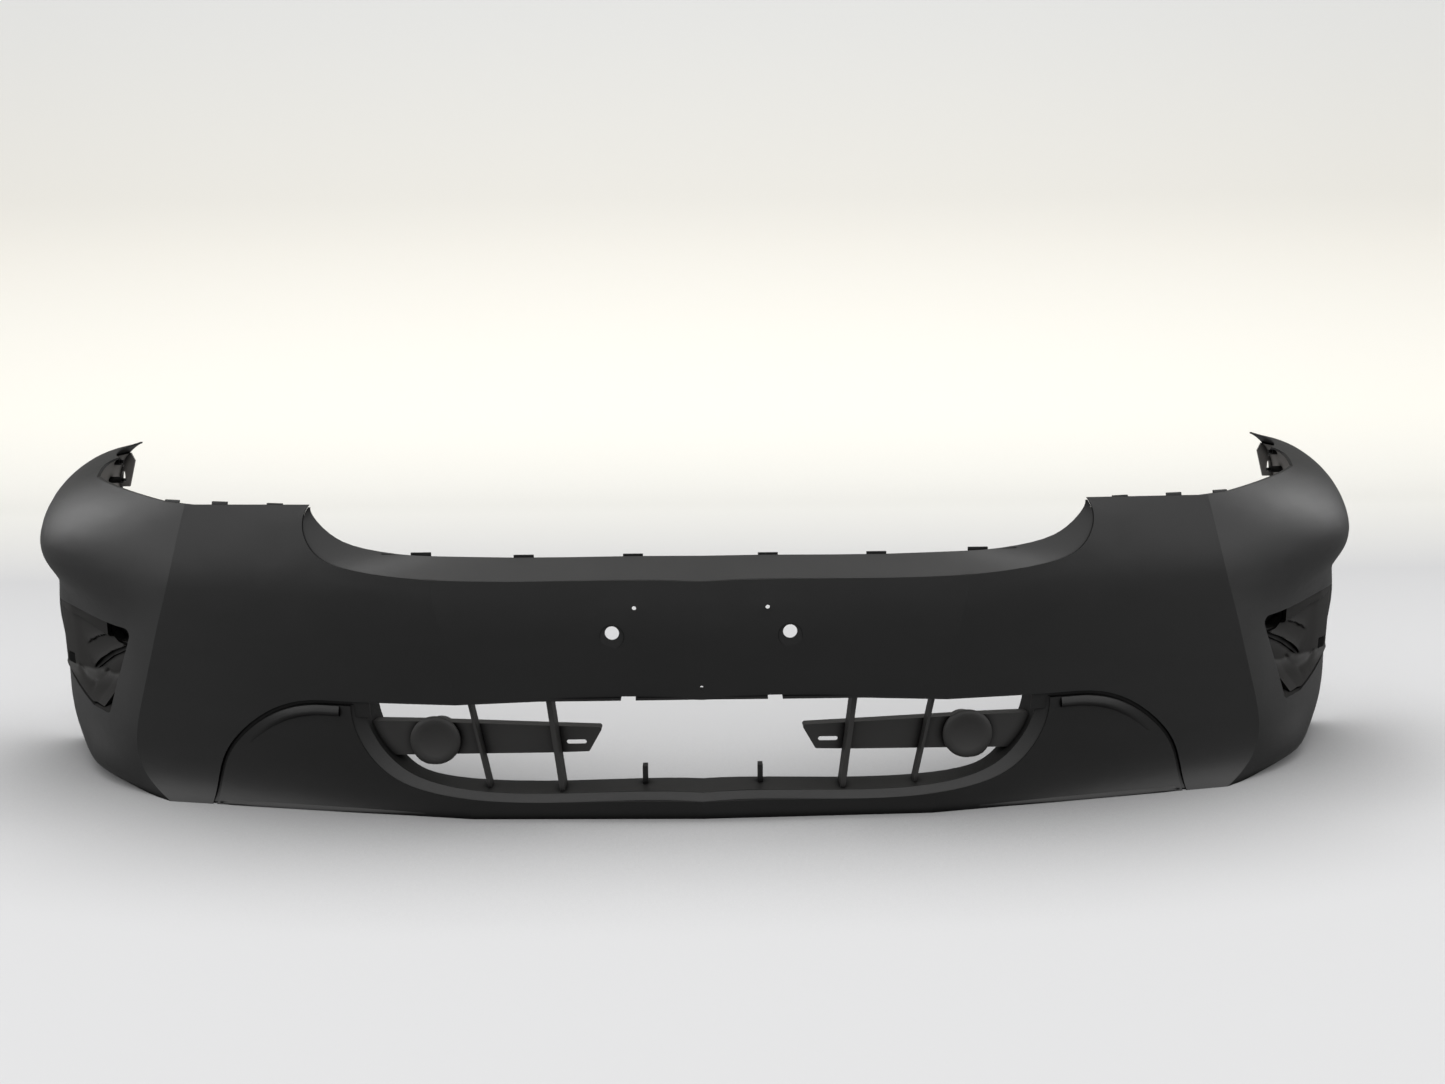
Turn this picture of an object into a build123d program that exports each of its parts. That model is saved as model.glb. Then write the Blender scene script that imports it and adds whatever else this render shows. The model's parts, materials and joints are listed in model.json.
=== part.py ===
from build123d import *
import math
import os

# Front bumper cover of a large pickup or SUV, standing on its bottom edge.
# X is across the vehicle, the front faces -Y, Z is up, the origin is on the floor
# under the middle of the box.  Plan points below are (x, depth), depth being the
# distance behind the foremost point of the face.

# ---- driving dimensions, mm ----
overall_depth = 560.0
wall = 3.0
retainer_wall = 2.5
front_plane = -overall_depth / 2

groove_gap = 5.5          # shadow gap between the cover and the lower valance
shelf_end = 55.0          # depth of the back of the grille shelf
header_notch_x = 84.0
header_notch_width = 17.0
header_notch_height = 4.5

plate_hole_spacing = 201.0
plate_hole_height = 229.0
plate_hole_radius = 8.0
dimple_radius = 14.0
dimple_sink = 0.8
small_hole_spacing = 150.0
small_hole_height = 258.0
small_hole_radius = 2.5

arm_front = 66.0          # depth of the front face of the intake arms
arm_wall = 3.0
arm_depth = 14.0
boss_x = 322.0
boss_height = 80.5
boss_radius = 23.0
boss_spigot_radius = 19.5
boss_flange = 8.0
boss_length = 45.0
post_x = 69.0
post_height = 26.0

screw_radius = 2.5
head_radius = 5.0

# plan outline of the cover at nine heights: face middle, soft crease, corner crease,
# four points round the corner and along the wing, end of the wing
levels = {
    0.0: [(0, 20), (270, 28), (655, 94), (695, 121), (770, 188), (838, 264), (872, 345), (884, 450), (888, 560)],
    50.0: [(0, 17), (274, 25), (703, 122), (730, 138), (790, 188), (855, 262), (897, 342), (904, 445), (906, 560)],
    100.0: [(0, 13), (277, 21), (698, 122), (729, 142), (796, 204), (866, 282), (907, 352), (912, 450), (914, 560)],
    155.0: [(0, 9), (284, 17), (680, 117), (717, 140), (790, 206), (862, 288), (913, 354), (917, 452), (918, 560)],
    210.0: [(0, 5), (290, 13), (661, 110), (704, 135), (784, 204), (864, 287), (914, 354), (920, 452), (921, 560)],
    250.0: [(0, 3), (298, 11), (646, 105), (701, 131), (797, 196), (876, 283), (914, 370), (922, 460), (923, 560)],
    295.0: [(0, 4), (303, 12), (631, 102), (697, 129), (808, 190), (887, 278), (918, 380), (924, 465), (924, 560)],
    345.0: [(0, 10), (303, 19), (617, 106), (690, 133), (796, 193), (875, 288), (911, 392), (920, 470), (921, 560)],
    374.0: [(0, 18), (303, 27), (609, 110), (680, 139), (781, 204), (857, 300), (898, 402), (910, 475), (915, 560)],
    392.0: [(0, 26), (303, 35), (603, 118), (670, 149), (765, 218), (837, 312), (880, 410), (895, 480), (903, 560)],
    405.0: [(0, 42), (303, 52), (588, 138), (650, 170), (736, 242), (806, 330), (849, 424), (868, 490), (884, 560)],
}
wing_shares = (0, 0.09, 0.28, 0.49, 0.64, 0.81, 1)  # of the length round the corner and wing


def rear(depth):
    """Y of a point that lies this far behind the foremost point."""
    return front_plane + depth


def inset_outline(points, distance):
    """Plan points moved into the cover, square to the outline."""
    moved = []
    last = len(points) - 1
    for i, (x, depth) in enumerate(points):
        before = points[max(i - 1, 0)]
        after = points[min(i + 1, last)]
        along = (after[0] - before[0], after[1] - before[1])
        if i == 0:
            along = (1.0, 0.0)
        length = math.hypot(along[0], along[1])
        moved.append((x - distance * along[1] / length, depth + distance * along[0] / length))
    return moved


def inset_height(height, distance):
    """Height of a level moved in, where the form rolls over at the shoulder or tucks under."""
    if height > 360:
        return height - 0.7 * distance
    if height < 40:
        return height + 0.7 * distance
    return height


def half_body(distance, overrun=0.0):
    """Right half of the form, inset by a distance, solid inside."""
    with BuildPart() as body:
        for height, points in levels.items():
            plan = inset_outline(points, distance)
            with BuildSketch(Plane.XY.offset(inset_height(height, distance))):
                with BuildLine():
                    start = (-overrun, rear(plan[0][1]))
                    corners = [(x, rear(depth)) for x, depth in plan]
                    Line(start, corners[1])
                    Line(corners[1], corners[2])
                    add(Edge.make_spline([Vector(*corner) for corner in corners[2:]], parameters=wing_shares))
                    end = (corners[-1][0], rear(overall_depth + overrun))
                    back = (-overrun, rear(overall_depth + overrun))
                    if overrun > 0:
                        Line(corners[-1], end)
                    Line(end, back)
                    Line(back, start)
                make_face()
        loft()
        if overrun > 0:
            top = body.faces().sort_by(Axis.Z)[-1]
            bottom = body.faces().sort_by(Axis.Z)[0]
            extrude(top, amount=40)
            extrude(bottom, amount=40)
    return body.part


def face_depth(x, z):
    """Depth of the outer surface behind the foremost point, at a place in front view."""

    def on_outline(points):
        for (x0, d0), (x1, d1) in zip(points, points[1:]):
            if x <= x1:
                return d0 + (d1 - d0) * (x - x0) / (x1 - x0)
        return points[-1][1]

    heights = sorted(levels)
    for low, high in zip(heights, heights[1:]):
        if z <= high:
            share = (z - low) / (high - low)
            return on_outline(levels[low]) * (1 - share) + on_outline(levels[high]) * share
    return on_outline(levels[heights[-1]])


def on_face(x, z, behind=0.0):
    """Point on the outer surface, or a distance behind it."""
    return (x, rear(face_depth(x, z) + behind), z)


def front_plane_at(depth):
    """Plane facing the front of the vehicle, with x across and y up."""
    return Plane.XZ.offset(-rear(depth))


def length_shares(points):
    """Share of the whole polyline length at each of its points."""
    totals = [0.0]
    for start, end in zip(points, points[1:]):
        totals.append(totals[-1] + math.dist(start, end))
    return [total / totals[-1] for total in totals]


def ribbon(near, far, thickness, towards):
    """Thin wall spanned between two curves and thickened towards one side."""
    shares = length_shares(near)
    near_edge = Edge.make_spline([Vector(*point) for point in near], parameters=shares)
    far_edge = Edge.make_spline([Vector(*point) for point in far], parameters=shares)
    span = Face.make_surface_from_curves(near_edge, far_edge)
    with BuildPart() as strip:
        thicken(span, amount=thickness, normal_override=towards)
    return strip.part


def mirrored(piece):
    """The same piece on the left side of the vehicle."""
    return piece.mirror(Plane.YZ)


def layer(outer_form, inner_form):
    """Skin-like wall between two forms."""
    with BuildPart() as wall_layer:
        add(outer_form)
        add(inner_form, mode=Mode.SUBTRACT)
    return wall_layer.part


# ---- outlines in front view, (x, z) ----
crease_line = [(0, 288), (200, 289), (330, 292), (407, 300), (442, 314), (457, 338), (450, 370)]
shelf_edge = [(0, 308), (200, 308), (300, 310.5), (366, 316.5), (414, 329), (440, 348), (449, 366)]
shelf_depth = [shelf_end - 1, shelf_end - 1, shelf_end - 1, shelf_end - 1, 60, 66, 67]
shelf_corner = (451.2, 367)
top_edge = [(450, 370), (600, 366), (640, 368.5), (706, 379), (768, 388), (781, 400), (784, 420)]
intake_edge = [(0, 149), (200, 147), (376, 139.5), (449, 138)]
groove_arc = [(449, 138, 0, 1), (525, 117, 0.5, 0.87), (578, 70, 0.86, 0.5), (601, -10, 1, 0.1)]
scoop_front = [(0, 21), (160, 21), (255, 23), (318, 30), (370, 48), (402, 84), (413, 134)]
scoop_lip = [(0, 29), (160, 29), (253, 31), (310, 38), (357, 56), (387, 90), (399, 134)]
scoop_rear = [(0, 28), (160, 28), (262, 30), (318, 37), (354, 54), (380, 90), (392, 134)]
scoop_rear_depth = [75, 75, 77, 80, 84, 88, 90]
fog_window = [(704, 207), (925, 206), (925, 118), (800, 88), (757, 90)]
fog_rear_limit = [(rear(-60), 60), (rear(312), 60), (rear(348), 212), (rear(-60), 212)]


def groove_outline(shift):
    """Closed front-view region under the groove, grown or shrunk by a shift."""
    with BuildSketch(front_plane_at(-60)) as region:
        with BuildLine():
            top = Spline(*[(x, z + shift) for x, z in intake_edge])
            arc_points = [(x + shift * nx, z + shift * nz) for x, z, nx, nz in groove_arc]
            arc = Spline(*arc_points, tangents=((1, -0.02), (0.15, -1)))
            Polyline(arc @ 1, (0, -10), (0, intake_edge[0][1] + shift))
        make_face()
    return region.sketch


def through(sketch, depth=760.0):
    """Front-view region carried right through the cover."""
    with BuildPart() as prism:
        extrude(sketch, amount=-depth)
    return prism.part


# ---- forms that every wall is cut from ----
outer_form = half_body(0.0)
inner_form = half_body(wall, overrun=8.0)
backing_form = half_body(wall + retainer_wall, overrun=8.0)
skin_layer = layer(outer_form, inner_form)
backing_layer = layer(inner_form, backing_form)

with BuildPart() as wheel_arch:
    with BuildSketch(Plane.YZ):
        with Locations((rear(700), -40)):
            Circle(375)
    extrude(amount=1000)

with BuildPart() as fog_cut:
    with BuildSketch(front_plane_at(-60)):
        with BuildLine():
            FilletPolyline(*fog_window, radius=8, close=True)
        make_face()
    extrude(amount=-500)
    with BuildSketch(Plane.YZ):
        Polygon(*fog_rear_limit, align=None)
    extrude(amount=1000, mode=Mode.INTERSECT)

with BuildPart() as upper_cut:
    with BuildSketch(front_plane_at(-60)):
        with BuildLine():
            crease = Spline(*crease_line)
            Polyline(*top_edge, (784, 500), (0, 500), crease @ 0)
        make_face()
    extrude(amount=-700)

# ---- fasteners: shanks are cut out of the pieces they pass through ----
def inward(x, z):
    """Direction square to the outer surface, pointing into the vehicle."""
    across = (face_depth(x + 1, z) - face_depth(x - 1, z)) / 2
    upward = (face_depth(x, z + 1) - face_depth(x, z - 1)) / 2
    return Vector(-across, 1, -upward).normalized()


def rods(places, start, end, radius):
    """Round rods square to the outer surface, between two distances behind it, both sides."""
    with BuildPart() as group:
        for x, z in places:
            direction = inward(x, z)
            origin = Vector(*on_face(x, z)) + direction * start
            with BuildSketch(Plane(origin=origin, z_dir=direction)):
                Circle(radius)
            extrude(amount=end - start)
        mirror(about=Plane.YZ)
    return group.part


def headed(shanks, heads, *neighbours):
    """Shanks with heads, the heads seated on their neighbours."""
    with BuildPart() as group:
        add(heads)
        for neighbour in neighbours:
            add(neighbour, mode=Mode.SUBTRACT)
        add(shanks)
    return group.part


seat = wall + retainer_wall
shank_end = seat + 1.5
valance_screw_places = [(425, 143.5), (505, 130.5), (564, 92)]
bezel_screw_places = [(756, 214), (812, 213.5), (737, 110), (812, 80)]
retainer_rivet_places = [(470, 352), (533, 351), (598, 350)]
grille_rivet_places = [(x * side, 301) for x in (45, 160, 262) for side in (-1, 1)]
valance_shanks = rods(valance_screw_places, 1.0, shank_end, screw_radius)
bezel_shanks = rods(bezel_screw_places, 1.0, shank_end, screw_radius)
retainer_shanks = rods(retainer_rivet_places, 1.0, shank_end, screw_radius)

# ---- bumper skin: right half, then both sides ----
def past_middle(points, overlap=4.0):
    """Curve points that start beyond the middle plane, where the halves meet."""
    return [(points[0][0] - overlap, *points[0][1:])] + points[1:]


shelf_near = past_middle([on_face(x, z, 1.2) for x, z in crease_line[:-1] + [shelf_corner]])
shelf_far = past_middle([(x, rear(depth), z) for (x, z), depth in zip(shelf_edge, shelf_depth)])
return_near = past_middle([on_face(x, z, 1.2) for x, z in intake_edge[:3]])
return_far = past_middle([on_face(x, z + 1.5, 34) for x, z in intake_edge[:3]])

with BuildPart() as skin_half:
    add(skin_layer)
    add(upper_cut.part, mode=Mode.SUBTRACT)
    add(wheel_arch.part, mode=Mode.SUBTRACT)
    add(through(groove_outline(0)), mode=Mode.SUBTRACT)
    add(fog_cut.part, mode=Mode.SUBTRACT)
    add(ribbon(shelf_near, shelf_far, wall, (0, 0, -1)))
    add(ribbon(return_near, return_far, wall, (0, 0, 1)))
    with BuildSketch(front_plane_at(shelf_end - wall)):
        with BuildLine():
            edge = Spline(*[(x, z - wall / 2) for x, z in shelf_edge[:4]])
            Polyline(edge @ 1, (366, 302), (0, 294), edge @ 0)
        make_face()
    extrude(amount=-wall)
    split(bisect_by=Plane.YZ)

with BuildPart() as bumper_skin:
    add(skin_half.part)
    mirror(about=Plane.YZ)
    with BuildSketch(front_plane_at(-20)):
        with Locations((plate_hole_spacing / 2, plate_hole_height), (-plate_hole_spacing / 2, plate_hole_height)):
            Circle(plate_hole_radius)
        with Locations((small_hole_spacing / 2, small_hole_height), (-small_hole_spacing / 2, small_hole_height)):
            Circle(small_hole_radius)
        with Locations((0, 164)):
            Circle(2)
        with Locations((header_notch_x, intake_edge[0][1]), (-header_notch_x, intake_edge[0][1])):
            Rectangle(header_notch_width, 2 * header_notch_height)
    extrude(amount=-60, mode=Mode.SUBTRACT)
    with BuildSketch(front_plane_at(-20)):
        with Locations((plate_hole_spacing / 2, plate_hole_height), (-plate_hole_spacing / 2, plate_hole_height)):
            with Locations((0, -4)):
                Circle(dimple_radius)
    dimple_floor = face_depth(plate_hole_spacing / 2, plate_hole_height) + dimple_sink
    extrude(amount=-(20 + dimple_floor), mode=Mode.SUBTRACT)
    add(valance_shanks, mode=Mode.SUBTRACT)
    add(bezel_shanks, mode=Mode.SUBTRACT)
    add(retainer_shanks, mode=Mode.SUBTRACT)
    with BuildSketch(front_plane_at(shelf_end - wall)):
        with Locations(*grille_rivet_places):
            Circle(screw_radius)
    extrude(amount=-10, mode=Mode.SUBTRACT)

# ---- lower valance: side faces, rolled edge, lip, scooped intake and ledge ----
scoop_a = past_middle([on_face(x, z, 1.2) for x, z in scoop_front])
scoop_b = past_middle([on_face(x, z, 9) for x, z in scoop_lip])
scoop_c = past_middle([(x, rear(depth), z) for (x, z), depth in zip(scoop_rear, scoop_rear_depth)])
floor_near = past_middle([on_face(x, 0, 1.2) for x in (0, 135, 270)])
floor_far = past_middle([on_face(x, 0, 45) for x in (0, 135, 270)])
side_floor_near = [on_face(x, 0, 1.2) for x in (270, 430, 590)]
side_floor_far = [on_face(x, 0, 45) for x in (270, 430, 578)]

with BuildPart() as scoop_cut:
    with BuildSketch(front_plane_at(-60)):
        with BuildLine():
            side = Spline(*scoop_front)
            Polyline(side @ 1, (413, 170), (-1, 170), (-1, 21), side @ 0)
        make_face()
    extrude(amount=-400)

with BuildPart() as groove_backing:
    add(backing_layer)
    add(through(groove_outline(12)), mode=Mode.INTERSECT)
    add(through(groove_outline(-groove_gap - 14)), mode=Mode.SUBTRACT)
    with BuildSketch(front_plane_at(-60)):
        Rectangle(390, 400, align=(Align.MIN, Align.CENTER))
        Rectangle(760, 80, align=(Align.MIN, Align.MAX))
    extrude(amount=-700, mode=Mode.SUBTRACT)

with BuildPart() as valance_half:
    add(skin_layer)
    add(through(groove_outline(-groove_gap)), mode=Mode.INTERSECT)
    add(scoop_cut.part, mode=Mode.SUBTRACT)
    add(groove_backing.part)
    add(ribbon(scoop_a, scoop_b, wall, (0, 0.3, -1)))
    add(ribbon(scoop_b, scoop_c, wall, (0.7, 0, -0.7)))
    add(ribbon(floor_near, floor_far, wall, (0, 0, 1)))
    add(ribbon(side_floor_near, side_floor_far, wall, (0, 0, 1)))
    with BuildSketch(front_plane_at(56)):
        with Locations((post_x, scoop_rear[0][1] - 2)):
            Rectangle(6, post_height, align=(Align.CENTER, Align.MIN))
    extrude(amount=-12)
    split(bisect_by=Plane.YZ)

with BuildPart() as lower_valance:
    add(valance_half.part)
    mirror(about=Plane.YZ)
    add(valance_shanks, mode=Mode.SUBTRACT)


def seated(piece, *neighbours):
    """Piece with the space of its neighbours taken away, largest solid kept."""
    with BuildPart() as trimmed:
        add(piece)
        for neighbour in neighbours:
            add(neighbour, mode=Mode.SUBTRACT)
    return trimmed.part.solids().sort_by(SortBy.VOLUME)[-1]


# ---- intake arms: shallow trays with a slanted, slotted free end ----
arm_outline = [(119, 98), (136, 68), (185, 67), (394, 67), (394, 110), (330, 108), (185, 101)]

with BuildPart() as arm_blank:
    with BuildSketch(front_plane_at(arm_front)) as arm_face:
        with BuildLine():
            FilletPolyline(*arm_outline, radius=3, close=True)
        make_face()
        with Locations((boss_x, boss_height)):
            Circle(boss_radius + 1.5)
    extrude(amount=-arm_depth)
    with BuildSketch(front_plane_at(arm_front + arm_wall)):
        offset(arm_face.sketch, amount=-arm_wall)
    extrude(amount=-arm_depth, mode=Mode.SUBTRACT)
    with BuildSketch(front_plane_at(arm_front)):
        with Locations((boss_x, boss_height)):
            Circle(boss_spigot_radius)
        with Locations((151, 80)):
            SlotOverall(24, 6)
    extrude(amount=-arm_depth, mode=Mode.SUBTRACT)

with BuildPart() as intake_arm_right:
    add(seated(arm_blank.part, lower_valance.part))

# ---- round bosses: flanged cups pushed through the arms from the front ----
with BuildPart() as round_boss_right:
    with BuildSketch(front_plane_at(arm_front - boss_flange)):
        with Locations((boss_x, boss_height)):
            Circle(boss_radius)
    extrude(amount=-boss_flange)
    with BuildSketch(front_plane_at(arm_front)):
        with Locations((boss_x, boss_height)):
            Circle(boss_spigot_radius)
    extrude(amount=-boss_length)
    with BuildSketch(front_plane_at(arm_front + boss_length)):
        with Locations((boss_x, boss_height)):
            Circle(boss_spigot_radius - wall)
    extrude(amount=boss_length + boss_flange - wall, mode=Mode.SUBTRACT)


def intake_bar(top_x, bottom_x, thickness, depth):
    """Upright bar between the ledge and the face, in front of the arm."""
    with BuildPart() as bar:
        with BuildSketch(front_plane_at(arm_front - depth)):
            Polygon(
                (bottom_x - thickness / 2, 26.5),
                (bottom_x + thickness / 2, 26.5),
                (top_x + thickness / 2, 148.5),
                (top_x - thickness / 2, 148.5),
                align=None,
            )
        extrude(amount=-depth)
    return seated(bar.part, lower_valance.part, bumper_skin.part)


with BuildPart() as intake_bar_inner_right:
    add(intake_bar(180, 166, 6, 27))

with BuildPart() as intake_bar_outer_right:
    add(intake_bar(276, 253, 3.5, 18))

# ---- fog bezels: panels sunk behind the fog lamp windows, with a frame round each ----
fog_panel = [(735, 238), (800, 266), (852, 294), (900, 333), (918, 354)]
fog_upper_pocket = [(740, 160), (740, 196), (797, 196), (798, 172), (788, 161)]
fog_lower_pocket = [(741, 150), (768, 153), (801, 138), (842, 110), (836, 98), (762, 94)]
fog_pockets = [(fog_upper_pocket, 285), (fog_lower_pocket, 318)]  # with the depth of each floor
fog_pocket_start = 225
fog_hole = (891, 123)
panel_back = (-1.4, 2.1)


def fog_space(margin, shift):
    """Space in front of the fog panel, inside the window outline grown by a margin."""
    with BuildPart() as space:
        with BuildSketch(front_plane_at(-60)):
            with BuildLine():
                FilletPolyline(*fog_window, radius=8, close=True)
            make_face()
            offset(amount=margin)
        extrude(amount=-500)
        with BuildSketch():
            with BuildLine():
                panel = Spline(*[(x + shift[0], rear(depth + shift[1])) for x, depth in fog_panel])
                Polyline(panel @ 1, (960, rear(368)), (960, rear(-60)), (680, rear(-60)), (680, rear(200)), panel @ 0)
            make_face()
        extrude(amount=300, mode=Mode.INTERSECT)
    return space.part


def pocket_blocks(margin):
    """The two pockets in the fog panel as solid blocks, grown by a margin."""
    with BuildPart() as blocks:
        for outline, floor in fog_pockets:
            with BuildSketch(front_plane_at(fog_pocket_start)):
                with BuildLine():
                    FilletPolyline(*outline, radius=4, close=True)
                make_face()
                offset(amount=margin)
            extrude(amount=-(floor + margin - fog_pocket_start))
    return blocks.part


with BuildPart() as fog_ears:
    add(backing_layer)
    with BuildSketch(front_plane_at(-60)):
        with Locations(*bezel_screw_places):
            RectangleRounded(28, 25, 4)
    extrude(amount=-430, mode=Mode.INTERSECT)

with BuildPart() as fog_bezel_right:
    add(fog_space(retainer_wall, panel_back))
    add(pocket_blocks(retainer_wall))
    add(inner_form, mode=Mode.INTERSECT)
    add(fog_ears.part)
    add(fog_space(0.01, (0, 0)), mode=Mode.SUBTRACT)
    add(pocket_blocks(0.01), mode=Mode.SUBTRACT)
    with BuildSketch(front_plane_at(100)):
        with Locations(fog_hole):
            Rectangle(7, 11)
    extrude(amount=-350, mode=Mode.SUBTRACT)
    add(bezel_shanks, mode=Mode.SUBTRACT)

# ---- wing brackets: slotted end flanges on the inner side of each wing ----
bracket_rivet_rows = [(rear(515), 350), (rear(515), 378)]

with BuildPart() as bracket_rivet_shanks:
    with BuildSketch(Plane.YZ.offset(890)):
        with Locations(*bracket_rivet_rows):
            Circle(screw_radius)
    extrude(amount=60)
    add(inner_form, mode=Mode.INTERSECT)

with BuildPart() as bracket_strip:
    add(backing_layer)
    with BuildSketch(Plane.YZ):
        with Locations((rear(520), 362)):
            Rectangle(76, 52)
    extrude(amount=1000, mode=Mode.INTERSECT)

with BuildPart() as wing_bracket_right:
    with BuildSketch(front_plane_at(545)):
        Polygon((940, 388), (893, 388), (888, 377), (900, 336), (940, 336), align=None)
        with Locations((908, 375), (908, 352)):
            SlotOverall(17, 5, rotation=90, mode=Mode.SUBTRACT)
    extrude(amount=-wall)
    add(inner_form, mode=Mode.INTERSECT)
    add(bracket_strip.part)
    add(bracket_rivet_shanks.part, mode=Mode.SUBTRACT)

with BuildPart() as bracket_heads:
    with BuildSketch(Plane.YZ.offset(895)):
        with Locations(*bracket_rivet_rows):
            Circle(head_radius)
    extrude(amount=60)
    add(backing_form, mode=Mode.INTERSECT)

# ---- retainers: strips behind the upper edges, with clip tabs above them ----
with BuildPart() as headlamp_retainer_right:
    add(backing_layer)
    with BuildSketch(front_plane_at(-60)):
        with Locations((464, 340)):
            Rectangle(186, 24, align=Align.MIN)
        with Locations((495, 340), (567, 340), (632, 340)):
            Rectangle(20, 30, align=(Align.CENTER, Align.MIN))
    extrude(amount=-300, mode=Mode.INTERSECT)
    add(retainer_shanks, mode=Mode.SUBTRACT)

with BuildPart() as grille_retainer:
    with BuildSketch(front_plane_at(shelf_end)):
        with BuildLine():
            middle = Spline(*[(x, z - wall) for x, z in shelf_edge[:4]])
            Polyline(middle @ 1, (366, 303), (262, 295), (0, 295), middle @ 0)
        make_face()
        with Locations((78, 296), (204, 296), (322, 300)):
            Rectangle(23, 14.8, align=(Align.CENTER, Align.MIN))
    extrude(amount=-retainer_wall)
    mirror(about=Plane.YZ)
    with BuildSketch(front_plane_at(shelf_end - wall)):
        with Locations(*grille_rivet_places):
            Circle(screw_radius)
    extrude(amount=-20, mode=Mode.SUBTRACT)

with BuildPart() as grille_rivet_shanks:
    with BuildSketch(front_plane_at(shelf_end - wall)):
        with Locations(*grille_rivet_places):
            Circle(screw_radius)
    extrude(amount=-(wall + retainer_wall + 1))

# ---- grouped fasteners ----
with BuildPart() as valance_screws:
    add(headed(valance_shanks, rods(valance_screw_places, seat, seat + 3, head_radius), lower_valance.part))

with BuildPart() as bezel_screws:
    bezels = [fog_bezel_right.part, mirrored(fog_bezel_right.part)]
    add(headed(bezel_shanks, rods(bezel_screw_places, seat, seat + 3, head_radius), *bezels))

with BuildPart() as retainer_rivets:
    retainers = [headlamp_retainer_right.part, mirrored(headlamp_retainer_right.part)]
    add(headed(retainer_shanks, rods(retainer_rivet_places, seat, seat + 2, head_radius), *retainers))
    add(grille_rivet_shanks.part)
    with BuildSketch(front_plane_at(shelf_end + retainer_wall)):
        with Locations(*grille_rivet_places):
            Circle(head_radius)
    extrude(amount=-2)

with BuildPart() as bracket_rivets:
    add(bracket_rivet_shanks.part)
    add(bracket_heads.part)
    mirror(about=Plane.YZ)

pairs = {
    "intake_arm": intake_arm_right,
    "round_boss": round_boss_right,
    "intake_bar_inner": intake_bar_inner_right,
    "intake_bar_outer": intake_bar_outer_right,
    "fog_bezel": fog_bezel_right,
    "wing_bracket": wing_bracket_right,
    "headlamp_retainer": headlamp_retainer_right,
}
groups = {
    "bumper_skin": bumper_skin,
    "lower_valance": lower_valance,
    "grille_retainer": grille_retainer,
    "valance_screws": valance_screws,
    "bezel_screws": bezel_screws,
    "retainer_rivets": retainer_rivets,
    "bracket_rivets": bracket_rivets,
}
finished = []

os.makedirs("parts", exist_ok=True)
for name, piece in pairs.items():
    right = piece.part
    left = mirrored(right)
    right.label = name + "_right"
    left.label = name + "_left"
    finished += [right, left]
for name, group in groups.items():
    group.part.label = name
    finished.append(group.part)
for piece in finished:
    export_step(piece, "parts/" + piece.label + ".step")
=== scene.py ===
import bmesh
import bpy
import json
import math
from mathutils import Matrix, Vector


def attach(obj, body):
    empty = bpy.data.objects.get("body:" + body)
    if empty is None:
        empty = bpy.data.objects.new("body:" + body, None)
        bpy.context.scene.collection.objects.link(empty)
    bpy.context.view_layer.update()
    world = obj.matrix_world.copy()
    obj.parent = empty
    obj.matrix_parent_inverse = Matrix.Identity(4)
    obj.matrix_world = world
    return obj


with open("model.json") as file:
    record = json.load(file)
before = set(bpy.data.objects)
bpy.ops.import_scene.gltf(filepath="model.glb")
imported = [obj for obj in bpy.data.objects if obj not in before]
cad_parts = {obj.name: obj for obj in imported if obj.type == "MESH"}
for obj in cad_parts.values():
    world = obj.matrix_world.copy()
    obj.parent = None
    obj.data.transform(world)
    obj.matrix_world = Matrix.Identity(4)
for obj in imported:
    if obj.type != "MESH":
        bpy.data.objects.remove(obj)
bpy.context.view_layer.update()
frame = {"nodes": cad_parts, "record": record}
scene = bpy.context.scene
scene.view_settings.view_transform = "Standard"

# ---- camera ----
CAMERA_PLACE = (0.00522, -1.480, 0.545)
CAMERA_YAW = math.radians(-0.930)      # turn to the left
CAMERA_PITCH = math.radians(10.0)      # look down
CAMERA_ROLL = math.radians(0.429)
CAMERA_LENS = 27.505


def make_camera():
    data = bpy.data.cameras.new("camera")
    data.sensor_width = 36.0
    data.lens = CAMERA_LENS
    data.clip_start = 0.05
    data.clip_end = 60.0
    camera = bpy.data.objects.new("camera", data)
    scene.collection.objects.link(camera)
    aim = Matrix.Rotation(CAMERA_YAW, 3, "Z")
    aim = aim @ Matrix.Rotation(-CAMERA_PITCH, 3, "X")
    aim = aim @ Matrix.Rotation(CAMERA_ROLL, 3, "Y")
    upright = aim @ Matrix.Rotation(math.pi / 2, 3, "X")
    camera.matrix_world = Matrix.Translation(CAMERA_PLACE) @ upright.to_4x4()
    scene.camera = camera


# ---- materials ----
PLASTIC_IOR = 1.5
PAINTED_SHADE_REACH = 0.012       # reach of the painted shade in gaps and corners
DUST_COLOUR = (0.30, 0.285, 0.26, 1.0)


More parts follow.
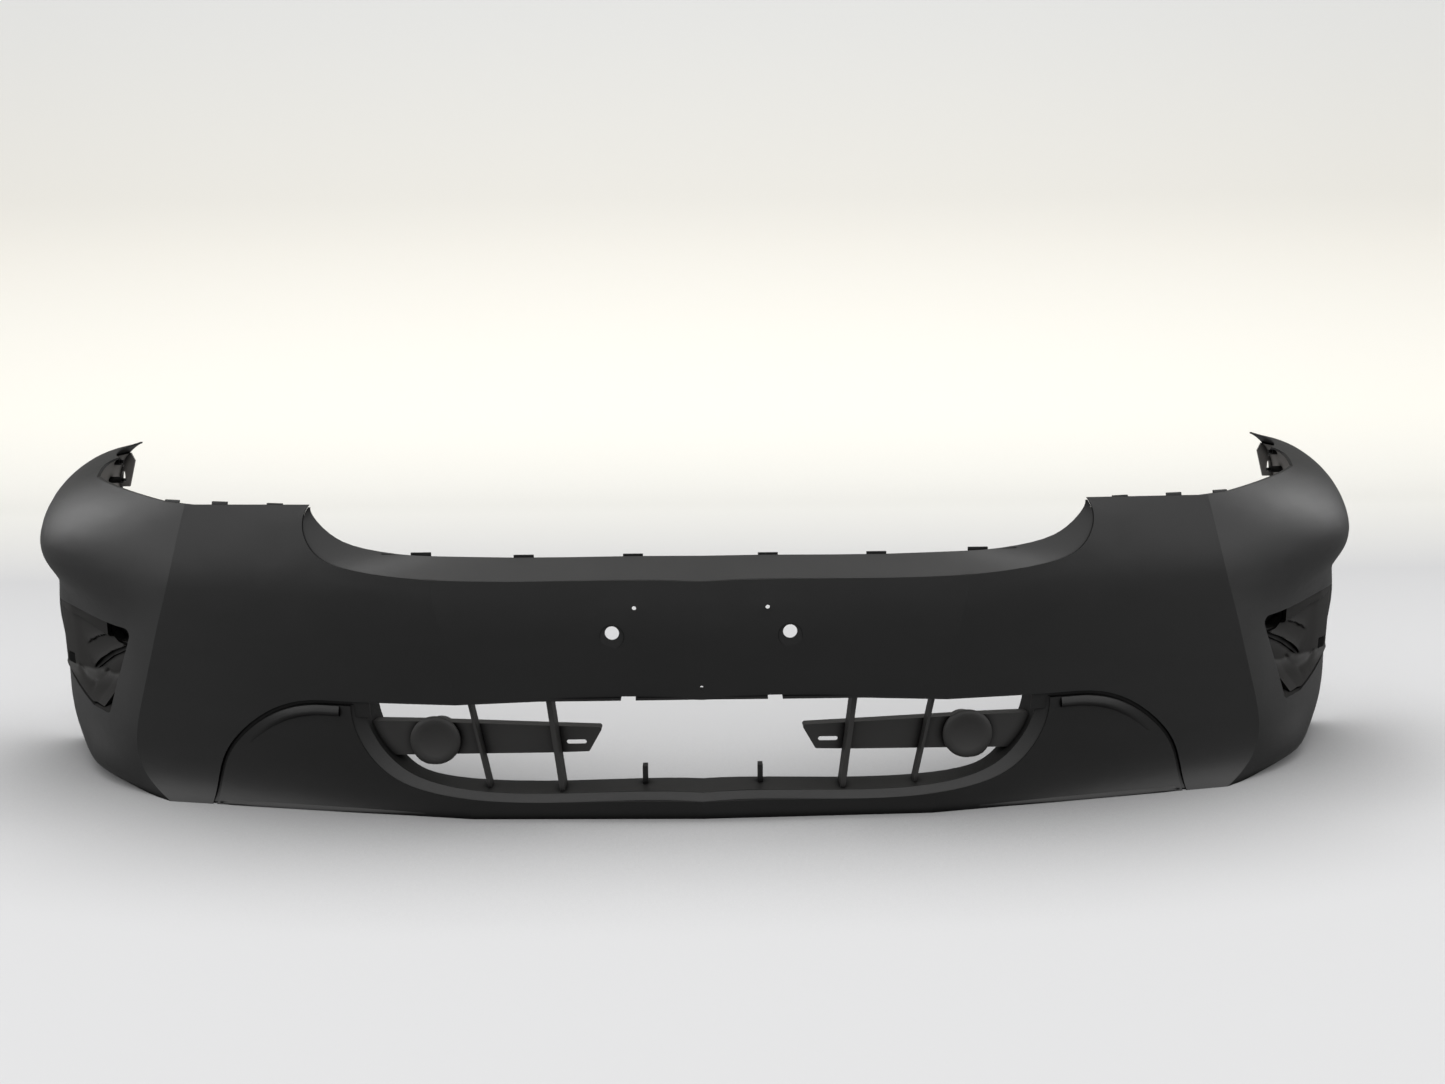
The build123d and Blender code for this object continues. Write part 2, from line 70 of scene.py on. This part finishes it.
class Nodes:
    """Short way to add and join shader nodes in one material."""

    def __init__(self, name):
        self.material = bpy.data.materials.new(name)
        self.material.use_nodes = True
        self.tree = self.material.node_tree
        self.tree.nodes.clear()
        self.output = self.add("ShaderNodeOutputMaterial")

    def add(self, kind, inputs=None, **settings):
        node = self.tree.nodes.new(kind)
        for key, value in settings.items():
            setattr(node, key, value)
        for key, value in (inputs or {}).items():
            if isinstance(value, bpy.types.NodeSocket):
                self.tree.links.new(value, node.inputs[key])
            else:
                node.inputs[key].default_value = value
        return node

    def noise(self, coords, scale, detail=3.0, roughness=0.55):
        settings = {"Vector": coords, "Scale": scale, "Detail": detail, "Roughness": roughness}
        return self.add("ShaderNodeTexNoise", settings).outputs["Fac"]

    def ramp(self, fac, stops):
        node = self.add("ShaderNodeValToRGB", {"Fac": fac})
        node.color_ramp.elements[0].position = stops[0][0]
        node.color_ramp.elements[0].color = stops[0][1]
        node.color_ramp.elements[1].position = stops[-1][0]
        node.color_ramp.elements[1].color = stops[-1][1]
        for position, colour in stops[1:-1]:
            node.color_ramp.elements.new(position).color = colour
        return node.outputs["Color"]

    def span(self, value, low, high):
        """Maps a 0 to 1 value onto a range."""
        node = self.add("ShaderNodeMapRange", {"Value": value, "To Min": low, "To Max": high})
        return node.outputs["Result"]

    def fit(self, value, low, high, floor):
        """Stretches the part of a value between low and high onto floor to 1."""
        settings = {"Value": value, "From Min": low, "From Max": high, "To Min": floor}
        return self.add("ShaderNodeMapRange", settings).outputs["Result"]

    def bump(self, strength, distance, height, normal=None):
        settings = {"Strength": strength, "Distance": distance, "Height": height}
        if normal:
            settings["Normal"] = normal
        return self.add("ShaderNodeBump", settings).outputs["Normal"]

    def math(self, operation, *values):
        return self.add("ShaderNodeMath", dict(enumerate(values)), operation=operation).outputs[0]


def grey(level, warm=0.0):
    """A grey with a slight warm or cool tint."""
    return (level * (1 + warm), level, level * (1 - warm), 1.0)


def moulded_plastic(name, level, warm=0.0, roughness=0.5, grain=1600.0, relief=0.25, dust=0.0, gloss=0.5):
    """Unpainted moulded polypropylene: fine grain, faint flow clouds, handling marks, painted shade in
    gaps and corners.
    """
    n = Nodes(name)
    coords = n.add("ShaderNodeNewGeometry").outputs["Position"]
    clouds = n.noise(coords, 3.2, 4.0)
    patches = n.noise(coords, 14.0, 5.0, 0.6)
    speckle = n.noise(coords, 900.0, 2.0)
    mixed = n.math("ADD", n.math("MULTIPLY", clouds, 0.5), n.math("MULTIPLY", patches, 0.3))
    mixed = n.math("ADD", mixed, n.math("MULTIPLY", speckle, 0.2))
    stops = [(0.3, grey(level * 0.84, warm)), (0.52, grey(level, warm)), (0.75, grey(level * 1.2, warm))]
    colour = n.ramp(mixed, stops)
    if dust:
        normal = n.add("ShaderNodeNewGeometry").outputs["Normal"]
        facing = n.add("ShaderNodeSeparateXYZ", {0: normal}).outputs["Z"]
        settled = n.math("MULTIPLY", n.math("MAXIMUM", facing, 0.0), n.span(patches, 0.3, 1.0))
        settled = n.math("MULTIPLY", settled, dust)
        mix = n.add("ShaderNodeMix", {"Factor": settled}, data_type="RGBA")
        n.tree.links.new(colour, mix.inputs["A"])
        mix.inputs["B"].default_value = DUST_COLOUR
        colour = mix.outputs["Result"]
    # painted shade: ambient occlusion darkens the colour in gaps, grooves and corners
    painted_shade = n.add("ShaderNodeAmbientOcclusion", {"Distance": PAINTED_SHADE_REACH}, samples=8).outputs["AO"]
    painted_shade = n.fit(painted_shade, 0.42, 0.92, 0.06)
    colour = n.add("ShaderNodeVectorMath", {0: colour, 1: painted_shade}, operation="MULTIPLY").outputs[0]
    stretched = n.add("ShaderNodeMapping", {"Vector": coords, "Scale": (1.0, 1.0, 7.0)}).outputs[0]
    scuffs = n.noise(stretched, 9.0, 6.0, 0.65)
    wear = n.math("ADD", n.math("MULTIPLY", scuffs, 0.6), n.math("MULTIPLY", speckle, 0.4))
    rough = n.span(wear, roughness - 0.09, roughness + 0.11)
    grain_height = n.noise(coords, grain, 2.0, 0.5)
    soft_height = n.noise(coords, 7.0, 2.0, 0.4)
    fine = n.bump(relief, 0.0004, grain_height)
    broad = n.bump(0.10, 0.004, soft_height, fine)
    shader = n.add("ShaderNodeBsdfPrincipled", {"Base Color": colour, "Roughness": rough, "Normal": broad})
    shader.inputs["IOR"].default_value = PLASTIC_IOR
    # the same painted shade also dims the reflection in gaps, grooves and corners
    n.tree.links.new(n.math("MULTIPLY", painted_shade, gloss), shader.inputs["Specular IOR Level"])
    n.tree.links.new(shader.outputs[0], n.output.inputs["Surface"])
    return n.material


def plated_steel(name):
    """Dark zinc-plated screw steel with a brushed, uneven tone."""
    n = Nodes(name)
    coords = n.add("ShaderNodeNewGeometry").outputs["Position"]
    tone = n.noise(coords, 420.0, 4.0, 0.6)
    colour = n.ramp(tone, [(0.3, (0.20, 0.20, 0.21, 1)), (0.7, (0.36, 0.35, 0.33, 1))])
    rough = n.span(n.noise(coords, 1500.0, 3.0), 0.28, 0.5)
    bump = n.bump(0.2, 0.0002, tone)
    shader = n.add("ShaderNodeBsdfPrincipled", {"Base Color": colour, "Roughness": rough, "Normal": bump})
    shader.inputs["Metallic"].default_value = 1.0
    n.tree.links.new(shader.outputs[0], n.output.inputs["Surface"])
    return n.material


# tone, warmth, roughness, grain density and grain relief; then, where given, dust and gloss
PLASTICS = {
    "cover_plastic": (0.0105, 0.0, 0.40, 1500.0, 0.25, 0.03),
    "valance_plastic": (0.0070, 0.01, 0.44, 1300.0, 0.30, 0.03),
    "intake_plastic": (0.0280, 0.03, 0.48, 1800.0, 0.2, 0.05),
    "bezel_plastic": (0.0130, 0.05, 0.42, 1900.0, 0.2, 0.04),
    "retainer_plastic": (0.0070, 0.0, 0.45, 2000.0, 0.2),
    "bracket_plastic": (0.2200, 0.05, 0.50, 1700.0, 0.2, 0.06),
    "relief_plastic": (0.0160, 0.05, 0.55, 1900.0, 0.2, 0.0, 0.20),
    # painted shadow: near-black and almost without reflection, for the pad in the clip slot
    "painted_shadow_plastic": (0.0020, 0.0, 0.75, 1500.0, 0.2, 0.0, 0.05),
    "fastener_plastic": (0.0080, 0.0, 0.40, 2200.0, 0.2),
}
materials = {name: moulded_plastic(name, *values) for name, values in PLASTICS.items()}
materials["fastener_steel"] = plated_steel("fastener_steel")


def dress_nodes():
    """Gives every CAD node the finish of its material slot."""
    for entry in frame["record"]["subparts"]:
        node = frame["nodes"][entry["node"]]
        node.data.materials.clear()
        node.data.materials.append(materials[entry["material_slot"]])


# ---- moulded details on the CAD surfaces, in millimetres ----
SIDES = ((1, "right"), (-1, "left"))
SHARP_ANGLE = math.radians(38)


def ease(t):
    """Smooth step from 0 to 1."""
    t = min(1.0, max(0.0, t))
    return t * t * (3 - 2 * t)


def between(value, table):
    """Linear look-up in a table of (value, result)."""
    for (a, p), (b, q) in zip(table, table[1:]):
        if value <= b:
            return p + (q - p) * (max(value, a) - a) / (b - a)
    return table[-1][1]


def solid(name, corners, faces, node_slot, finish=None):
    """A closed mesh that rides on the cover."""
    mesh = bpy.data.meshes.new(name)
    mesh.from_pydata([(x / 1000, y / 1000, z / 1000) for x, y, z in corners], [], faces)
    work = bmesh.new()
    work.from_mesh(mesh)
    bmesh.ops.recalc_face_normals(work, faces=work.faces)
    work.to_mesh(mesh)
    work.free()
    for face in mesh.polygons:
        face.use_smooth = True
    mesh.set_sharp_from_angle(angle=SHARP_ANGLE)
    piece = bpy.data.objects.new(name, mesh)
    scene.collection.objects.link(piece)
    mesh.materials.append(materials[finish or node_slot])
    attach(piece, "root")


def front_of(node_name, x, z):
    """Foremost y of a CAD node at a place in the front view, or None beside it."""
    start = Vector((x / 1000, -1.0, z / 1000))
    found, place, _, _ = frame["nodes"][node_name].ray_cast(start, Vector((0.0, 1.0, 0.0)))
    return place.y * 1000 if found else None


END_SHARE = 0.05            # height left at the very end of a faded bead
STRAY_DEPTH = 6.0           # a point this far off its row lies on another surface


def bead(name, node_name, path, section, fade):
    """A raised moulding along a path; section holds (sideways, height above the surface).

    Sideways is to the left of the path's direction.  The height fades over a count of points
    at each end, and buried points stay buried.
    """
    rows = []
    for i, (x, z) in enumerate(path):
        before, after = path[max(i - 1, 0)], path[min(i + 1, len(path) - 1)]
        along = math.hypot(after[0] - before[0], after[1] - before[1])
        side = (-(after[1] - before[1]) / along, (after[0] - before[0]) / along)
        share = 1.0
        for left, count in ((i, fade[0]), (len(path) - 1 - i, fade[1])):
            if left < count:
                share *= END_SHARE + (1 - END_SHARE) * ease(left / count)
        row = []
        for across, height in section:
            px, pz = x + side[0] * across, z + side[1] * across
            y = front_of(node_name, px, pz)
            row.append((px, y, pz, height * share if height > 0 else height))
        known = [y for _, y, _, _ in row if y is not None]
        if known:
            middle = sorted(known)[len(known) // 2]
            rows.append([
                (px, (y if y is not None and abs(y - middle) < STRAY_DEPTH else middle) - height, pz)
                for px, y, pz, height in row
            ])
    count = len(section)
    corners = [corner for row in rows for corner in row]
    faces = []
    for i in range(len(rows) - 1):
        for j in range(count):
            k = (j + 1) % count
            faces.append((i * count + j, i * count + k, (i + 1) * count + k, (i + 1) * count + j))
    faces.append(tuple(range(count)))
    faces.append(tuple(len(corners) - count + j for j in range(count)))
    solid(name, corners, faces, "valance_plastic")


def mirrored_path(path, side):
    """The path on one side of the car; the left copy runs backwards so that its left stays the same."""
    return path if side > 0 else [(-x, z) for x, z in reversed(path)]


INSERT_MIDDLE = (462.0, 20.0)
INSERT_TURNS = (107.0, 12.0)            # first and last direction of the search, degrees
INSERT_STEPS = 44
INSERT_REACH = (60.0, 220.0, 0.5)       # where the search starts, stops, and its step
GROOVE_STEP = 1.6                       # a drop larger than this is the groove


def insert_edge():
    """Outer edge of the lower insert's rounded end, found as the step down to the groove."""
    edge = []
    first, last_turn = INSERT_TURNS
    for step in range(INSERT_STEPS + 1):
        turn = math.radians(first - (first - last_turn) * step / INSERT_STEPS)
        way = (math.cos(turn), math.sin(turn))
        reach, limit, stride = INSERT_REACH
        last = None
        while reach < limit:
            x, z = (middle + share * reach for middle, share in zip(INSERT_MIDDLE, way))
            y = front_of("lower_valance", x, z)
            if y is None or (last is not None and y - last > GROOVE_STEP):
                break
            last = y
            reach += stride
        edge.append(tuple(middle + share * (reach - stride) for middle, share in zip(INSERT_MIDDLE, way)))
    return edge


INSERT_ROLL = [(-0.3, -0.6), (-0.3, 0.8), (-3.0, 1.9), (-7.0, 3.2), (-9.0, 3.5), (-10.5, 3.0),
               (-12.5, 1.4), (-14.0, -0.6)]
ROLL_POINTS = 34            # how much of the insert's edge the roll follows
ROLL_FADE = (0, 22)
FLOOR_LIP = [(0.3, -0.6), (0.3, 1.9), (1.6, 2.2), (3.6, 1.0), (5.2, -0.6)]
LIP_PATH = [(x, 0.6) for x in range(330, 594, 8)]
LIP_FADE = (12, 2)


def make_mouldings():
    roll_path = insert_edge()[:ROLL_POINTS]
    for side, word in SIDES:
        for name, path, section, fade in (
            ("insert_roll_", roll_path, INSERT_ROLL, ROLL_FADE),
            ("floor_lip_", LIP_PATH, FLOOR_LIP, LIP_FADE),
        ):
            bead(name + word, "lower_valance", mirrored_path(path, side), section, fade[::side])
        make_boss_cap(side, word)


BOSS_PLACE = (322.0, 80.5)              # where the boss's face is measured
CAP_CENTRE = (317.5, 87.0)
CAP_PROFILE = [(16.0, 1.2), (19.0, 2.0), (24.5, 2.4), (28.0, 2.0), (29.6, 0.8), (29.8, -1.5), (28.5, -3.0)]
CAP_TURNS = 64


def make_boss_cap(side, word):
    """Dished round cap on the front of the boss, from radius and height above the boss's face."""
    face = front_of("round_boss_" + word, side * BOSS_PLACE[0], BOSS_PLACE[1])
    corners, faces = [], []
    for radius, height in CAP_PROFILE:
        for step in range(CAP_TURNS):
            turn = 2 * math.pi * step / CAP_TURNS
            x, z = CAP_CENTRE[0] + radius * math.cos(turn), CAP_CENTRE[1] + radius * math.sin(turn)
            corners.append((side * x, face - height, z))
    for i in range(len(CAP_PROFILE) - 1):
        near, far = i * CAP_TURNS, (i + 1) * CAP_TURNS
        for k in range(CAP_TURNS):
            m = (k + 1) % CAP_TURNS
            faces.append((near + k, near + m, far + m, far + k))
    faces.append(tuple(range(CAP_TURNS)))
    faces.append(tuple(range(len(corners) - CAP_TURNS, len(corners))))
    solid("boss_cap_" + word, corners, faces, "intake_plastic")


# ---- relief moulded into the fog panels ----
# inner edge of the relief at a height
RELIEF_INNER = [(88.0, 779.0), (110.0, 782.0), (129.0, 785.0), (135.0, 772.0), (142.0, 764.0),
                (156.0, 764.0), (160.0, 786.0), (171.0, 799.0), (207.0, 799.0)]
RELIEF_NEAR = 764.0
RELIEF_OUTER = 903.0
RELIEF_LOW = 90.0
RELIEF_HIGH = 205.6
RELIEF_COLUMNS = 96
RELIEF_ROWS = 78
RELIEF_STAND = 1.6          # the relief's plain parts stand this far in front of the panel
PANEL_HEIGHT = 200.0        # where the panel's depth is measured
SILL_LOW = 88.0             # foot of the window at its inner part
SILL_TURN = 800.0           # from here outward the foot climbs
SILL_CLIMB = 30.0 / 125.0
SILL_DROP = 3.5             # the cover's edge is measured this far under the foot
FOOT_BACK = 2.5             # the sloping foot starts this far behind the cover's edge
FOOT_SLOPE = 3.0
FOOT_BLEND = 24.0
FOOT_FADE = 7.0             # the relief grows over this height above the foot
SHELL_WALL = 1.0            # thickness of the relief's shell where it stands clear
FLANGE_HEIGHT = 8.0         # heights and depths are measured from the plain panel
FLANGE_STEP = 1.6           # width of the step up to the flange
FLANGE_FADE = 40.0          # width over which the flange runs out at the outer end
UPPER_HEIGHT = 2.4
UPPER_REACH = 9.0
RIDGE_HEIGHT = 4.0
RIDGE_REACH = 12.0          # how far the ridge falls off above its crest
HOLLOW_DEPTH = 9.0          # the scoop under the ridge
HOLLOW_REACH = 9.0
CREASE_DEPTH = 2.2
CREASE_WIDTH = 2.6
BOX_START = 850.0           # the raised outer part, with the clip slot in it
BOX_RISE = 22.0
BOX_HEIGHT = 1.8
FLANGE_LINE = [(799.0, 168.0), (806.0, 172.0), (845.0, 188.0), (913.0, 199.5)]
UPPER_RIDGE = [(799.0, 171.0), (825.0, 163.0), (850.0, 148.0)]
MAIN_RIDGE = [(770.0, 157.5), (798.0, 146.5), (821.5, 133.0), (839.0, 116.0)]
CREASES = [[(812.0, 116.0), (826.0, 102.0), (821.0, 92.0)],
           [(826.0, 102.0), (850.0, 106.0), (866.0, 114.0)]]
SLOT_CENTRE = (886.0, 122.0)
SLOT_HALF = 8.5
SLOT_DEPTH = 1.6
SLOT_MARGIN = 0.7           # the painted shadow pad is this much smaller than the slot
SLOT_CORNER = 5             # 2 would be a circle, more is squarer
SLOT_TURNS = 24
PAD_LIFTS = (2.7, 1.6)      # front and back of the painted shadow pad, in front of the panel
PROFILE_STEPS = 40


def off_line(x, z, line):
    """Distance to a line of points, whether the place lies above it, and how far along it falls."""
    best = (1e9, False, 0.0)
    spans = len(line) - 1
    for i, ((ax, az), (bx, bz)) in enumerate(zip(line, line[1:])):
        dx, dz = bx - ax, bz - az
        share = min(1.0, max(0.0, ((x - ax) * dx + (z - az) * dz) / (dx * dx + dz * dz)))
        away = math.hypot(x - ax - share * dx, z - az - share * dz)
        if away < best[0]:
            best = (away, dx * (z - az) - dz * (x - ax) > 0, (i + share) / spans)
    return best


def relief_height(x, z):
    """How far the relief stands in front of the plain panel; negative in its hollows."""
    flange_z = between(x, FLANGE_LINE)
    step = ease((z - flange_z) / FLANGE_STEP + 0.5)
    height = FLANGE_HEIGHT * step * ease((RELIEF_OUTER - x) / FLANGE_FADE)
    away, above, along = off_line(x, z, UPPER_RIDGE)
    if above and z < flange_z:
        height += UPPER_HEIGHT * math.exp(-away / UPPER_REACH) * ease(4 * along) * ease(4 * (1 - along))
    away, above, along = off_line(x, z, MAIN_RIDGE)
    ends = ease(5 * (1 - along))
    if above:
        height += RIDGE_HEIGHT * math.exp(-away / RIDGE_REACH) * ends
    else:
        height += RIDGE_HEIGHT * ends * (1 - ease(away / 1.5))
        height -= HOLLOW_DEPTH * ends * ease(away / 2.0) * math.exp(-away / HOLLOW_REACH)
    for line in CREASES:
        away, _, _ = off_line(x, z, line)
        height -= CREASE_DEPTH * math.exp(-(away / CREASE_WIDTH) ** 2)
    rise = ease((x - BOX_START) / BOX_RISE) * ease((RELIEF_OUTER - x) / 8.0)
    height += BOX_HEIGHT * rise
    slot = max(abs(x - SLOT_CENTRE[0]), abs(z - SLOT_CENTRE[1])) - SLOT_HALF
    height -= SLOT_DEPTH * rise * (1 - ease(slot / 1.2 + 0.5))
    return height


def sill(x):
    """Height of the window's foot."""
    return SILL_LOW + max(0.0, x - SILL_TURN) * SILL_CLIMB


def make_relief(side, word, panel_depth, edge_depth):
    """A shell in front of the fog panel, closed against the panel along its rim."""
    front, back = [], []
    for j in range(RELIEF_ROWS + 1):
        z = RELIEF_LOW + (RELIEF_HIGH - RELIEF_LOW) * j / RELIEF_ROWS
        inner = between(z, RELIEF_INNER)
        outer = min(RELIEF_OUTER, SILL_TURN + 1.0 + (z - SILL_LOW - 0.8) / SILL_CLIMB)
        for i in range(RELIEF_COLUMNS + 1):
            x = inner + (outer - inner) * i / RELIEF_COLUMNS
            panel = panel_depth(x)
            rise = z - sill(x)
            plain = panel - RELIEF_STAND
            foot = edge_depth(x) + FOOT_BACK + FOOT_SLOPE * rise
            blend = max(0.0, 1 - abs(plain - foot) / FOOT_BLEND)
            base = min(plain, foot) - FOOT_BLEND * blend * blend * 0.25
            y = base - relief_height(x, z) * ease(rise / FOOT_FADE)
            front.append((side * x, y, z))
            back.append((side * x, max(y + SHELL_WALL, panel - 0.1), z))
    across = RELIEF_COLUMNS + 1
    total = len(front)
    faces = []
    for j in range(RELIEF_ROWS):
        for i in range(RELIEF_COLUMNS):
            a = j * across + i
            quad = (a, a + 1, a + across + 1, a + across)
            faces.append(quad)
            faces.append(tuple(total + k for k in reversed(quad)))
    rim = list(range(across))
    rim += [j * across + RELIEF_COLUMNS for j in range(1, RELIEF_ROWS + 1)]
    rim += [RELIEF_ROWS * across + i for i in range(RELIEF_COLUMNS - 1, -1, -1)]
    rim += [j * across for j in range(RELIEF_ROWS - 1, 0, -1)]
    for a, b in zip(rim, rim[1:] + rim[:1]):
        faces.append((b, a, total + a, total + b))
    solid("fog_relief_" + word, front + back, faces, "bezel_plastic", "relief_plastic")


def make_slot_shadow_pad(side, word, panel_depth):
    """Painted shadow in the clip slot in the outer part of the panel: a rounded pad of near-black plastic.
    """
    corners, ring = [], []
    reach = SLOT_HALF - SLOT_MARGIN
    for step in range(SLOT_TURNS):
        turn = 2 * math.pi * step / SLOT_TURNS
        c, s = math.cos(turn), math.sin(turn)
        k = reach * (abs(c) ** SLOT_CORNER + abs(s) ** SLOT_CORNER) ** (-1 / SLOT_CORNER)
        ring.append((SLOT_CENTRE[0] + k * c, SLOT_CENTRE[1] + k * s))
    for lift in PAD_LIFTS:
        for x, z in ring:
            corners.append((side * x, panel_depth(x) - lift, z))
    faces = [tuple(range(SLOT_TURNS)), tuple(range(2 * SLOT_TURNS - 1, SLOT_TURNS - 1, -1))]
    for i in range(SLOT_TURNS):
        k = (i + 1) % SLOT_TURNS
        faces.append((k, i, SLOT_TURNS + i, SLOT_TURNS + k))
    solid("fog_slot_shadow_" + word, corners, faces, "bezel_plastic", "painted_shadow_plastic")


def depth_profile(node_name, side, height_of):
    """Front of a node along the fog panel at a given height, as a function of x."""
    table = []
    for step in range(PROFILE_STEPS + 1):
        x = RELIEF_NEAR + (RELIEF_OUTER - RELIEF_NEAR) * step / PROFILE_STEPS
        y = front_of(node_name, side * x, height_of(x))
        if y is not None:
            table.append((x, y))
    return lambda x: between(x, table)


def make_fog_reliefs():
    for side, word in SIDES:
        panel_depth = depth_profile("fog_bezel_" + word, side, lambda x: PANEL_HEIGHT)
        edge_depth = depth_profile("bumper_skin", side, lambda x: sill(x) - SILL_DROP)
        make_relief(side, word, panel_depth, edge_depth)
        make_slot_shadow_pad(side, word, panel_depth)


# ---- floor, backdrop and light ----
STAGE_HALF_WIDTH = 7.0
STAGE_FRONT = -4.5
WALL_PLACE = 3.6
WALL_HEIGHT = 7.0
COVE_RADIUS = 1.2
TONE_PLANE = 1.15           # the tone of the paper is laid out as on an upright plane this far back
PAINTED_SHADOW_REACH = 0.30        # reach of the painted soft shadow round the foot of the object
# Paper tones from the floor to the top of the wall: as the camera sees it, the glow added to
# that, and the duller tone that all other rays meet, so that the paper does not light the object.
PAPER_TONE = [(0.0, (0.63, 0.63, 0.635, 1)), (0.3, (0.80, 0.79, 0.74, 1)), (1.0, (0.84, 0.84, 0.83, 1))]
PAPER_GLOW = [(0.0, (0.0, 0.0, 0.0, 1)), (0.12, (0.24, 0.235, 0.21, 1)), (0.6, (0.27, 0.25, 0.21, 1)),
              (1.0, (0.20, 0.20, 0.19, 1))]
PAPER_DULL = [(0.0, (0.15, 0.15, 0.15, 1)), (0.3, (0.12, 0.12, 0.12, 1)), (1.0, (0.30, 0.30, 0.29, 1))]
COVE_STEPS = 12


def stage_material():
    """Pale matt studio paper: light grey floor, slightly cream wall that the camera sees near white."""
    n = Nodes("studio_paper")
    coords = n.add("ShaderNodeNewGeometry").outputs["Position"]
    place = n.add("ShaderNodeSeparateXYZ", {0: coords}).outputs
    eye_y, eye_z = CAMERA_PLACE[1], CAMERA_PLACE[2]
    away = n.math("MAXIMUM", n.math("SUBTRACT", place["Y"], eye_y), 0.5)
    height = n.math("DIVIDE", n.math("SUBTRACT", place["Z"], eye_z), away)
    height = n.math("ADD", n.math("MULTIPLY", height, TONE_PLANE - eye_y), eye_z)
    rise = n.fit(height, 0.0, 1.3, 0.0)
    tone = n.ramp(rise, PAPER_TONE)
    glow = n.ramp(rise, PAPER_GLOW)
    # painted shadow: ambient occlusion darkens the floor's tone round the foot of the object
    near = n.add("ShaderNodeAmbientOcclusion", {"Distance": PAINTED_SHADOW_REACH}, samples=12).outputs["AO"]
    near = n.fit(near, 0.45, 1.0, 0.42)
    tone = n.add("ShaderNodeVectorMath", {0: tone, 1: near}, operation="MULTIPLY").outputs[0]
    paper = n.noise(coords, 260.0, 3.0)
    matt = n.add("ShaderNodeBsdfDiffuse", {"Color": tone, "Normal": n.bump(0.05, 0.0005, paper)})
    room = n.add("ShaderNodeBsdfDiffuse", {"Color": n.ramp(rise, PAPER_DULL)})
    seen = n.add("ShaderNodeLightPath").outputs["Is Camera Ray"]
    lit = n.add("ShaderNodeEmission", {"Color": glow, "Strength": seen})
    shown = n.add("ShaderNodeMixShader", {0: seen, 1: room.outputs[0], 2: matt.outputs[0]})
    both = n.add("ShaderNodeAddShader", {0: shown.outputs[0], 1: lit.outputs[0]})
    n.tree.links.new(both.outputs[0], n.output.inputs["Surface"])
    return n.material


def make_stage():
    """One sheet: floor, a rounded cove, and the wall behind."""
    profile = [(STAGE_FRONT, 0.0)]
    for step in range(COVE_STEPS + 1):
        turn = math.radians(90 * step / COVE_STEPS)
        y = WALL_PLACE - COVE_RADIUS + COVE_RADIUS * math.sin(turn)
        profile.append((y, COVE_RADIUS - COVE_RADIUS * math.cos(turn)))
    profile.append((WALL_PLACE, WALL_HEIGHT))
    corners = [(side * STAGE_HALF_WIDTH, y, z) for y, z in profile for side in (-1, 1)]
    faces = [(2 * i, 2 * i + 1, 2 * i + 3, 2 * i + 2) for i in range(len(profile) - 1)]
    mesh = bpy.data.meshes.new("studio_sweep")
    mesh.from_pydata(corners, [], faces)
    for face in mesh.polygons:
        face.use_smooth = True
    sweep = bpy.data.objects.new("studio_sweep", mesh)
    scene.collection.objects.link(sweep)
    mesh.materials.append(stage_material())


ROOM_DIM = 0.02             # world strength below the horizon
ROOM_BRIGHT = 1.20          # world strength above it
ROOM_LOW = -0.05            # sines of the heights between which the world brightens
ROOM_HIGH = 0.10
ROOM_SEEN = 0.8             # world strength that the camera sees
# place, point aimed at, size in metres, power in watts
CEILING_LAMP = ((0.0, -0.3, 2.6), (0.0, -0.2, 0.0), (4.6, 1.5), 24.0)
SIDE_LAMP = ((2.8, -0.2, 0.75), (0.8, 0.0, 0.2), (1.2, 0.9), 8.0)


def area_light(name, place, aim, size, power):
    data = bpy.data.lights.new(name, "AREA")
    data.shape = "RECTANGLE"
    data.size, data.size_y = size
    data.energy = power
    lamp = bpy.data.objects.new(name, data)
    scene.collection.objects.link(lamp)
    lamp.location = place
    lamp.rotation_euler = (Vector(aim) - Vector(place)).to_track_quat("-Z", "Y").to_euler()


def make_light():
    area_light("ceiling_panel", *CEILING_LAMP)
    place, aim, size, power = SIDE_LAMP
    for side in (-1, 1):
        mirrored = [(side * x, y, z) for x, y, z in (place, aim)]
        area_light("side_panel_" + str(side), *mirrored, size, power)
    world = bpy.data.worlds.new("studio_world")
    scene.world = world
    world.use_nodes = True
    nodes, links = world.node_tree.nodes, world.node_tree.links
    direction = nodes.new("ShaderNodeTexCoord")
    split = nodes.new("ShaderNodeSeparateXYZ")
    links.new(direction.outputs["Generated"], split.inputs[0])
    climb = nodes.new("ShaderNodeMapRange")
    climb.inputs["From Min"].default_value = ROOM_LOW
    climb.inputs["From Max"].default_value = ROOM_HIGH
    climb.inputs["To Min"].default_value = ROOM_DIM
    climb.inputs["To Max"].default_value = ROOM_BRIGHT
    links.new(split.outputs["Z"], climb.inputs["Value"])
    seen = nodes.new("ShaderNodeLightPath")
    shown = nodes.new("ShaderNodeMix")
    shown.inputs["B"].default_value = ROOM_SEEN
    links.new(seen.outputs["Is Camera Ray"], shown.inputs["Factor"])
    links.new(climb.outputs[0], shown.inputs["A"])
    background = nodes["Background"]
    background.inputs["Color"].default_value = (1.0, 1.0, 1.0, 1.0)
    links.new(shown.outputs["Result"], background.inputs["Strength"])


make_camera()
dress_nodes()
make_mouldings()
make_fog_reliefs()
make_stage()
make_light()
